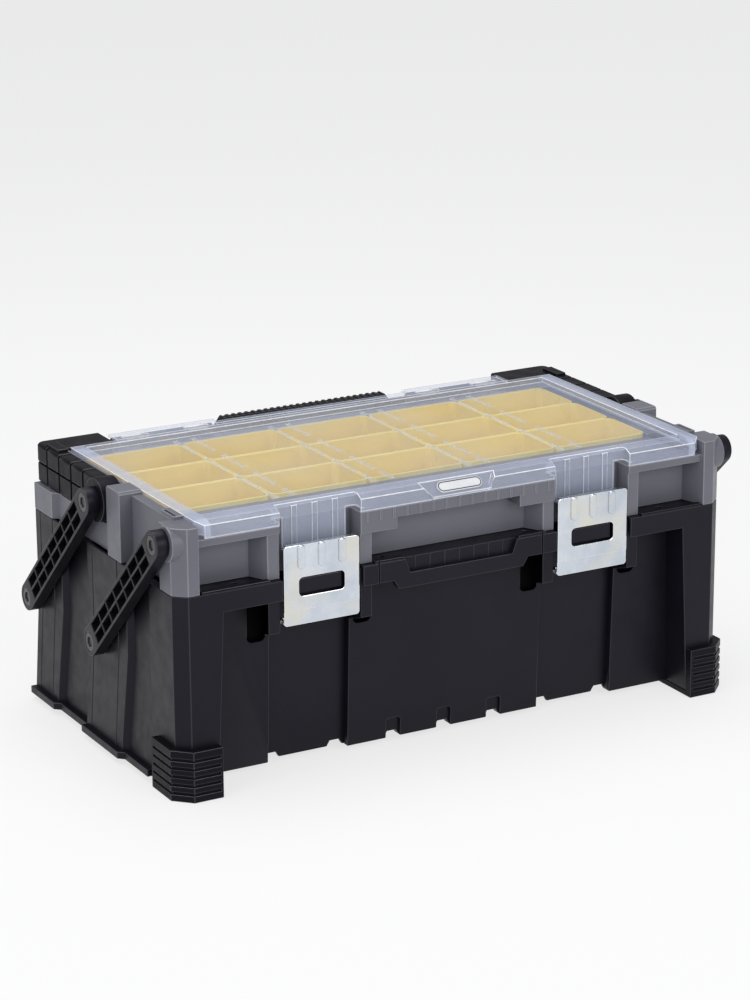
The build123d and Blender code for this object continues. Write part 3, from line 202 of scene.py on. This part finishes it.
def clear_plastic(name, dark, light, rough, specular, ior):
    """Milky clear plastic: a clearer window, cloudier rim and frosted ribs under the window."""
    mat, tree, bsdf = material(name)
    where = place(tree)
    x, y, z = split(tree, where)
    off_middle = maths(tree, "ABSOLUTE", x)
    x_border = (window_x - window_blur, window_x + window_blur)
    across = spread(tree, off_middle, 1, 0, *x_border)
    ahead = spread(tree, y, 0, 1, window_front_y - window_blur, window_front_y + window_blur)
    behind = spread(tree, y, 1, 0, window_rear_y - window_blur, window_rear_y + window_blur)
    window = maths(tree, "MULTIPLY", maths(tree, "MULTIPLY", across, ahead), behind)
    below = spread(tree, z, 1, 0, window_under_z - rib_blur, window_under_z)
    ribs = maths(tree, "MULTIPLY", window, below)
    cloud = noise(tree, where, lid_cloud)
    rim = spread(tree, cloud, *rim_cover)
    clearing = maths(tree, "MULTIPLY", window, window_clearing)
    frost = maths(tree, "MULTIPLY", ribs, rib_frost)
    milk = spread(tree, off_middle, 0, side_milk, *x_border)
    plate = maths(tree, "ADD", rim, clearing)
    extra = maths(tree, "ADD", frost, milk)
    tree.links.new(maths(tree, "ADD", plate, extra), bsdf.inputs["Alpha"])
    tree.links.new(tint(tree, cloud, dark, light), bsdf.inputs["Base Color"])
    tree.links.new(spread(tree, noise(tree, where, lid_gloss), *rough), bsdf.inputs["Roughness"])
    bsdf.inputs["IOR"].default_value = ior
    bsdf.inputs["Specular IOR Level"].default_value = specular
    bump(tree, bsdf, noise(tree, where, lid_ripple), lid_bump, lid_bump_strength)
    return mat


def painted_clear_highlight(name, dark, light, rough):
    """A painted white highlight line along the clear plastic's edges, fainter under the window."""
    mat, tree, bsdf = material(name)
    where = place(tree)
    glint = noise(tree, where, edge_glint)
    z = split(tree, where)[2]
    fade = spread(tree, z, edge_cover_under_window, 1.0,
                  window_under_z - edge_fade_below, window_under_z + edge_fade_above)
    cover = maths(tree, "MULTIPLY", spread(tree, glint, *edge_cover), fade)
    tree.links.new(tint(tree, glint, dark, light), bsdf.inputs["Base Color"])
    tree.links.new(cover, bsdf.inputs["Alpha"])
    tree.links.new(spread(tree, glint, *rough), bsdf.inputs["Roughness"])
    return mat


def zinc(name, dark, light, warm, rough):
    """Bright plated sheet: rolled grain, and the faint blue and straw clouds of the plating."""
    mat, tree, bsdf = material(name)
    where = place(tree)
    stretch = add(tree, "ShaderNodeMapping")
    stretch.inputs["Scale"].default_value = zinc_stretch
    tree.links.new(where, stretch.inputs["Vector"])
    rolled = noise(tree, stretch.outputs["Vector"], zinc_rolling)
    clouds = spread(tree, noise(tree, where, zinc_clouds), 0, 1, *zinc_cloud_span)
    straw = spread(tree, noise(tree, where, zinc_straw), 0, 1, *zinc_straw_span)
    plain = tint(tree, clouds, dark, light)
    tree.links.new(tint(tree, straw, plain, warm), bsdf.inputs["Base Color"])
    less, more = zinc_swing
    tree.links.new(spread(tree, rolled, rough - less, rough + more), bsdf.inputs["Roughness"])
    bsdf.inputs["Metallic"].default_value = 1.0
    bump(tree, bsdf, rolled, zinc_bump, zinc_bump_strength)
    return mat


def badge_plate(name, dark, light, line_colour, rough):
    """Pale bare plate with a dark line that follows its oval border."""
    mat, tree, bsdf = material(name)
    where = place(tree)
    x, _, z = split(tree, where)
    along = maths(tree, "SUBTRACT", maths(tree, "ABSOLUTE", x), badge_half_x - badge_r)
    along = maths(tree, "MAXIMUM", along, 0.0)
    up = maths(tree, "SUBTRACT", z, badge_middle_z)
    up = maths(tree, "DIVIDE", up, badge_slope_share)
    squares = maths(tree, "ADD", maths(tree, "POWER", along, 2.0), maths(tree, "POWER", up, 2.0))
    reach = maths(tree, "SQRT", squares)
    start = spread(tree, reach, 0, 1, *(badge_r - inset for inset in badge_line_in))
    end = spread(tree, reach, 1, 0, *(badge_r - inset for inset in badge_line_out))
    line = maths(tree, "MULTIPLY", start, end)
    cloud = spread(tree, noise(tree, where, badge_cloud), 0, 1)
    pale = tint(tree, cloud, dark, light)
    tree.links.new(tint(tree, line, pale, line_colour), bsdf.inputs["Base Color"])
    tree.links.new(spread(tree, noise(tree, where, badge_gloss), *rough), bsdf.inputs["Roughness"])
    return mat


cool = (0.90, 0.87, 1.0)
black = moulded(
    "black_moulding",
    dark=(0.0064, 0.0060, 0.0096),
    light=(0.0096, 0.0090, 0.0134),
    rough=0.38,
    grain=0.22,
    specular=0.20,
    gloss_tint=cool,
)
# Lighter, glossier black on the softened outer edges: a painted highlight
black_edge_highlight = moulded(
    "black_edge_highlights",
    dark=(0.016, 0.016, 0.020),
    light=(0.023, 0.022, 0.028),
    rough=0.32,
    grain=0.05,
    specular=0.4,
    gloss_tint=cool,
)
# Near-black, barely glossy material painted on the recess faces beside the latches as their shade
pocket_shade = moulded(
    "pocket_painted_shade",
    dark=(0.0010, 0.0010, 0.0012),
    light=(0.0018, 0.0018, 0.0022),
    rough=0.6,
    grain=0.1,
    specular=0.04,
)
# Lighter black for the pins as a painted sheen, and lighter still on their edges as a painted highlight
# ring
pin_sheen_black = moulded(
    "black_pins_painted_sheen",
    dark=(0.022, 0.022, 0.025),
    light=(0.034, 0.034, 0.038),
    rough=0.34,
    grain=0.08,
    specular=0.5,
)
pin_highlight_edge = moulded(
    "black_pin_painted_highlights",
    dark=(0.050, 0.050, 0.056),
    light=(0.070, 0.070, 0.078),
    rough=0.28,
    grain=0.03,
    specular=0.5,
)
grip_black = moulded(
    "black_grip",
    dark=(0.006, 0.006, 0.007),
    light=(0.010, 0.010, 0.012),
    rough=0.50,
    grain=0.3,
    specular=0.22,
)
grey = moulded(
    "grey_moulding",
    dark=(0.132, 0.133, 0.160),
    light=(0.156, 0.157, 0.184),
    rough=0.38,
    grain=0.16,
    specular=0.32,
)
# Lighter grey on the outer edges: a painted highlight
grey_edge_highlight = moulded(
    "grey_edge_highlights",
    dark=(0.20, 0.20, 0.23),
    light=(0.25, 0.25, 0.28),
    rough=0.30,
    grain=0.05,
    specular=0.5,
)
yellow = moulded(
    "yellow_moulding",
    dark=(0.92, 0.73, 0.085),
    light=(0.96, 0.78, 0.115),
    rough=0.32,
    grain=0.06,
    specular=0.4,
)
# Slightly lighter yellow on the outer edges: a painted highlight
yellow_edge_highlight = moulded(
    "yellow_edge_highlights",
    dark=(0.93, 0.74, 0.12),
    light=(0.96, 0.78, 0.15),
    rough=0.30,
    grain=0.03,
    specular=0.5,
)
clear = clear_plastic(
    "clear_moulding",
    dark=(0.62, 0.69, 0.89),
    light=(0.69, 0.75, 0.93),
    rough=(0.14, 0.26),
    specular=0.6,
    ior=1.49,
)
# Near-white, mostly opaque lid edges: a painted highlight line
clear_edge_highlight = painted_clear_highlight(
    "clear_edge_highlights",
    dark=(0.86, 0.88, 0.92),
    light=(0.95, 0.96, 0.98),
    rough=(0.18, 0.32),
)
plated = zinc(
    "zinc_sheet",
    dark=(0.55, 0.60, 0.67),
    light=(0.69, 0.73, 0.78),
    warm=(0.71, 0.70, 0.63),
    rough=0.28,
)
# Brighter zinc on the outer edges: a painted highlight
plated_edge_highlight = zinc(
    "zinc_edge_highlights",
    dark=(0.82, 0.85, 0.89),
    light=(0.90, 0.92, 0.94),
    warm=(0.88, 0.88, 0.84),
    rough=0.22,
)
steel = zinc(
    "dark_steel",
    dark=(0.10, 0.10, 0.11),
    light=(0.16, 0.16, 0.17),
    warm=(0.14, 0.13, 0.12),
    rough=0.38,
)
silver = badge_plate(
    "badge_plate",
    dark=(0.64, 0.65, 0.67),
    light=(0.71, 0.72, 0.74),
    line_colour=(0.05, 0.05, 0.055),
    rough=(0.24, 0.36),
)
silver_edge = moulded(
    "badge_border",
    dark=(0.62, 0.63, 0.66),
    light=(0.70, 0.71, 0.74),
    rough=0.30,
    grain=0.03,
    specular=0.5,
)
# Darker, matter black for the handle, corner feet and front rim lip: painted shade where they sit in
# shadow
matt_shade_black = moulded(
    "black_matt_painted_shade",
    dark=(0.0050, 0.0047, 0.0066),
    light=(0.0075, 0.0070, 0.0096),
    rough=0.44,
    grain=0.26,
    specular=0.11,
    gloss_tint=cool,
)

# Each slot's main material, the one along its edges, mostly lighter as a painted highlight, and the
# width of those edges in metres
finishes = {
    "black_plastic": (black, black_edge_highlight, 0.0006),
    "black_grip": (grip_black, black_edge_highlight, 0.0004),
    "grey_tray": (grey, grey_edge_highlight, 0.0006),
    "clear_lid": (clear, clear_edge_highlight, 0.0005),
    "yellow_bins": (yellow, yellow_edge_highlight, 0.0005),
    "zinc_latch": (plated, plated_edge_highlight, 0.0005),
    "steel_rod": (steel, steel, 0.0003),
    "silver_badge": (silver, silver_edge, 0.0003),
}

# Nodes whose finish differs from the rest of their slot; the handle, corner feet and front rim lip take
# a darker black as painted shade
matt_shade_finish = (matt_shade_black, black_edge_highlight, 0.0006)
pin_highlight_finish = (pin_sheen_black, pin_highlight_edge, 0.0007)
own_finish = {
    "handle_bail": matt_shade_finish,
    "corner_foot_left": matt_shade_finish,
    "corner_foot_right": matt_shade_finish,
    "front_rim_lip": matt_shade_finish,
    # The pins take a lighter black: painted sheen and highlight
    "lower_pivot_pins": pin_highlight_finish,
    "upper_front_pins": pin_highlight_finish,
    "upper_rear_pins": pin_highlight_finish,
}

# Faces with many holes in them keep their triangles
kept_triangles = {"lid"}


# Geometry nodes

def shape_group(name):
    """An empty geometry group, with the output of its shape and the socket that takes the result."""
    group = bpy.data.node_groups.new(name, "GeometryNodeTree")
    for way in ("INPUT", "OUTPUT"):
        group.interface.new_socket("Geometry", in_out=way, socket_type="NodeSocketGeometry")
    shape = group.nodes.new("NodeGroupInput").outputs["Geometry"]
    return group, shape, group.nodes.new("NodeGroupOutput").inputs["Geometry"]


def outer_edges(name):
    """Marks the edges that stand out, so that only those are softened."""
    group, shape, result = shape_group(name)
    angle = group.nodes.new("GeometryNodeInputMeshEdgeAngle").outputs["Signed Angle"]
    keep = add(group, "GeometryNodeStoreNamedAttribute", data_type="FLOAT", domain="EDGE")
    keep.inputs["Name"].default_value = "bevel_weight_edge"
    group.links.new(shape, keep.inputs["Geometry"])
    group.links.new(maths(group, "GREATER_THAN", angle, sharp_angle), keep.inputs["Value"])
    group.links.new(keep.outputs["Geometry"], result)
    return group


def box_finish(name, mat, boxes):
    """Gives the faces inside some boxes, and inside their mirror images, a finish of their own."""
    group, shape, result = shape_group(name)
    x, y, z = split(group, group.nodes.new("GeometryNodeInputPosition").outputs["Position"])
    at = (maths(group, "ABSOLUTE", x), y, z)
    for box in boxes:
        inside = 1.0
        for value, (low, high) in zip(at, box):
            past_low = maths(group, "GREATER_THAN", value, low)
            short_of_high = maths(group, "LESS_THAN", value, high)
            within = maths(group, "MULTIPLY", past_low, short_of_high)
            inside = maths(group, "MULTIPLY", within, inside)
        paint = group.nodes.new("GeometryNodeSetMaterial")
        paint.inputs["Material"].default_value = mat
        group.links.new(shape, paint.inputs["Geometry"])
        group.links.new(inside, paint.inputs["Selection"])
        shape = paint.outputs["Geometry"]
    group.links.new(shape, result)
    return group


# Finishes on the nodes

edge_finder = outer_edges("outer_edges")
# The recess faces beside the latches get the near-black painted shade
pocket_boxes = [(x_span, pocket_y_span, pocket_z_span) for x_span in pocket_x_spans]
pockets = box_finish("pockets", pocket_shade, pocket_boxes)
for part in frame["record"]["subparts"]:
    name = part["node"]
    node = nodes[name]
    main, edge, width = own_finish.get(name, finishes[part["material_slot"]])
    node.data.materials.clear()
    node.data.materials.append(main)
    node.data.materials.append(edge)
    weld = node.modifiers.new("weld", "WELD")
    weld.merge_threshold = weld_distance
    if name not in kept_triangles:
        flat = node.modifiers.new("flat", "DECIMATE")
        flat.decimate_type = "DISSOLVE"
        flat.angle_limit = flat_angle
    node.modifiers.new("outer_edges", "NODES").node_group = edge_finder
    soft = node.modifiers.new("soft_edges", "BEVEL")
    soft.width = width
    soft.segments = edge_segments
    soft.limit_method = "WEIGHT"
    # The bevel's faces take the slot's edge material, mostly a painted highlight
    soft.material = 1
    soft.use_clamp_overlap = False
    soft.loop_slide = name not in kept_triangles
    if name == "base_tub":
        # Painted shade on the recess faces beside the latches
        node.modifiers.new("pockets", "NODES").node_group = pockets


# Stage, light and camera

floor_size = 24
floor_z = -0.0004
floor_colour = (0.84, 0.84, 0.85, 1)
floor_rough = 0.8
floor_specular = 0.1
floor_glow_share = 0.72
sky_colour = (0.96, 0.97, 1.0, 1)
sky_strength = 0.40

# Softboxes: place, target and size in metres, and power in watts
softboxes = {
    "top_box": ((-0.2, 0.3, 2.2), (0, 0, 0.2), (2.2, 1.6), 30),
    "left_box": ((-2.4, -1.0, 1.2), (0, 0, 0.15), (1.2, 1.2), 15),
    "front_box": ((0.5, -2.6, 1.3), (0, 0, 0.1), (1.8, 1.4), 30),
}

# Camera: sensor height and lens in millimetres, place in metres and turn in degrees
sensor_height = 36.0
lens = 114.583
camera_place = (-1.3220, -2.38957, 1.02905)
camera_turn = (72.7973, 0.3365, -28.9796)


def pale_floor():
    """A matt floor that stays near white for the camera and in reflections, and keeps the shadow."""
    mat, tree, bsdf = material("pale_floor")
    bsdf.inputs["Base Color"].default_value = floor_colour
    bsdf.inputs["Roughness"].default_value = floor_rough
    bsdf.inputs["Specular IOR Level"].default_value = floor_specular
    glow = add(tree, "ShaderNodeEmission", Strength=1.0)
    path = add(tree, "ShaderNodeLightPath")
    seen = maths(tree, "MAXIMUM", path.outputs["Is Camera Ray"], path.outputs["Is Glossy Ray"])
    seen = maths(tree, "MAXIMUM", seen, path.outputs["Is Transmission Ray"])
    blend = add(tree, "ShaderNodeMixShader")
    tree.links.new(maths(tree, "MULTIPLY", seen, floor_glow_share), blend.inputs["Fac"])
    tree.links.new(bsdf.outputs["BSDF"], blend.inputs[1])
    tree.links.new(glow.outputs["Emission"], blend.inputs[2])
    tree.links.new(blend.outputs["Shader"], tree.nodes["Material Output"].inputs["Surface"])
    return mat


def stand(name, data, location, rotation):
    """A lamp or camera as an object of the scene."""
    holder = bpy.data.objects.new(name, data)
    scene.collection.objects.link(holder)
    holder.location = location
    holder.rotation_euler = rotation
    return holder


bpy.ops.mesh.primitive_plane_add(size=floor_size, location=(0, 0, floor_z))
floor = bpy.context.object
floor.name = "floor"
floor.data.materials.append(pale_floor())

world = bpy.data.worlds.new("studio")
scene.world = world
world.use_nodes = True
sky = world.node_tree.nodes["Background"]
sky.inputs["Color"].default_value = sky_colour
sky.inputs["Strength"].default_value = sky_strength

for name, (location, target, size, power) in softboxes.items():
    lamp = bpy.data.lights.new(name, "AREA")
    lamp.shape = "RECTANGLE"
    lamp.size, lamp.size_y = size
    lamp.energy = power
    aim = [t - p for t, p in zip(target, location)]
    stand(name, lamp, location, Vector(aim).to_track_quat("-Z", "Y").to_euler())

camera = bpy.data.cameras.new("camera")
camera.sensor_fit = "VERTICAL"
camera.sensor_height = sensor_height
camera.lens = lens
scene.camera = stand("camera", camera, camera_place, [math.radians(a) for a in camera_turn])

bpy.context.view_layer.update()
